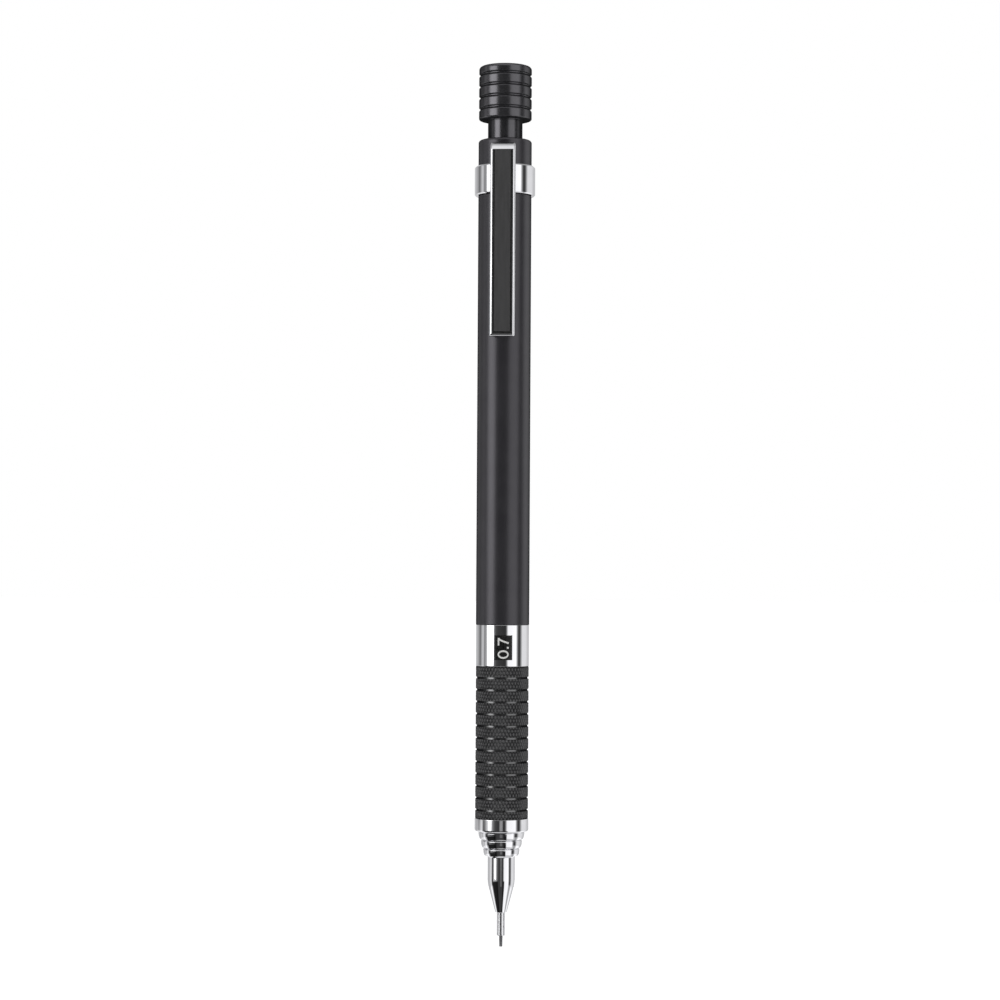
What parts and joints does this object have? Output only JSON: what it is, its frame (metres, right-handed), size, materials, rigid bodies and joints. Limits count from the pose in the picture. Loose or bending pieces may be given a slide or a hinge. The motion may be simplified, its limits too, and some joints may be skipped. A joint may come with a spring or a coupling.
{
  "type": "mechanical pencil",
  "caption": "Clutch-type mechanical pencil with a knurled metal grip, stepped chromed nose, sprung pocket clip and ribbed push knob.",
  "frame": {"origin": "on the pencil's axis at the middle of the knurled grip, where the hand holds it", "axes": "+Z along the axis from the lead towards the push knob, -Y towards the badge and the clip's side, +X to the right of the badge"},
  "size_m": [0.0098, 0.0113, 0.1438],
  "materials": {
    "barrel_black": "matt",
    "cap_black": "gloss",
    "grip_black": "fine knurl, satin",
    "chrome": "polished",
    "steel": "satin",
    "brass": "satin",
    "rubber_black": "matt",
    "eraser_white": "matt",
    "badge_black": "satin",
    "graphite": "satin",
    "tube_plastic": "satin"
  },
  "bodies": {
    "barrel": {"nose_cone": "chrome", "lead_sleeve": "steel", "lead_retainer": "rubber_black", "grip_sleeve": "grip_black", "spacer_ring": "chrome", "size_badge": "badge_black", "barrel_tube": "barrel_black", "barrel_coupler": "brass", "guide_sleeve": "brass", "top_cap": "cap_black", "clip_collar": "chrome"},
    "feed": {"feed_tube": "tube_plastic", "tube_connector": "brass", "chuck_body": "brass", "return_spring": "steel", "spare_lead_1": "graphite", "spare_lead_2": "graphite", "spare_lead_3": "graphite", "spare_lead_4": "graphite", "eraser_holder": "steel", "eraser": "eraser_white"},
    "knob": {"push_knob": "cap_black"},
    "jaw_1": {"chuck_jaw_1": "brass"},
    "jaw_2": {"chuck_jaw_2": "brass"},
    "jaw_3": {"chuck_jaw_3": "brass"},
    "clutch": {"clutch_ring": "brass"},
    "lead": {"writing_lead": "graphite"},
    "clip": {"clip_arm": "chrome", "clip_inlay": "barrel_black"}
  },
  "joints": [
    {"name": "press", "type": "slide", "parent": "barrel", "child": "feed", "axis": [0, 0, -1], "range_m": [0, 0.0025], "stiffness_N_per_m": 600, "springref_m": -0.001, "deforming": ["return_spring"]},
    {"name": "knob_pull", "type": "slide", "parent": "feed", "child": "knob", "axis": [0, 0, 1], "range_m": [0, 0.02]},
    {"name": "clutch_slide", "type": "slide", "parent": "barrel", "child": "clutch", "axis": [0, 0, -1], "range_m": [0, 0.001]},
    {"name": "lead_advance", "type": "slide", "parent": "barrel", "child": "lead", "axis": [0, 0, -1], "range_m": [0, 0.001]},
    {"name": "jaw_1_open", "type": "hinge", "parent": "feed", "child": "jaw_1", "pos_m": [0.00078, 0, -0.0083], "axis": [0, -1, 0], "range_deg": [0, 1.25]},
    {"name": "jaw_2_open", "type": "hinge", "parent": "feed", "child": "jaw_2", "pos_m": [-0.00039, 0.00068, -0.0083], "axis": [0.866, 0.5, 0], "range_deg": [0, 1.25]},
    {"name": "jaw_3_open", "type": "hinge", "parent": "feed", "child": "jaw_3", "pos_m": [-0.00039, -0.00068, -0.0083], "axis": [-0.866, 0.5, 0], "range_deg": [0, 1.25]},
    {"name": "clip_flex", "type": "hinge", "parent": "barrel", "child": "clip", "pos_m": [-0.00035, -0.00554, 0.0965], "axis": [-0.998, 0.0628, 0], "range_deg": [0, 3], "stiffness_Nm_per_rad": 0.05}
  ],
  "couplings": [
    {"joint": "clutch_slide", "follows": "press", "ratio": 0.4},
    {"joint": "lead_advance", "follows": "press", "ratio": 0.4},
    {"joint": "jaw_1_open", "follows": "press", "rad_per_m": 8.3776},
    {"joint": "jaw_2_open", "follows": "press", "rad_per_m": 8.3776},
    {"joint": "jaw_3_open", "follows": "press", "rad_per_m": 8.3776}
  ]
}
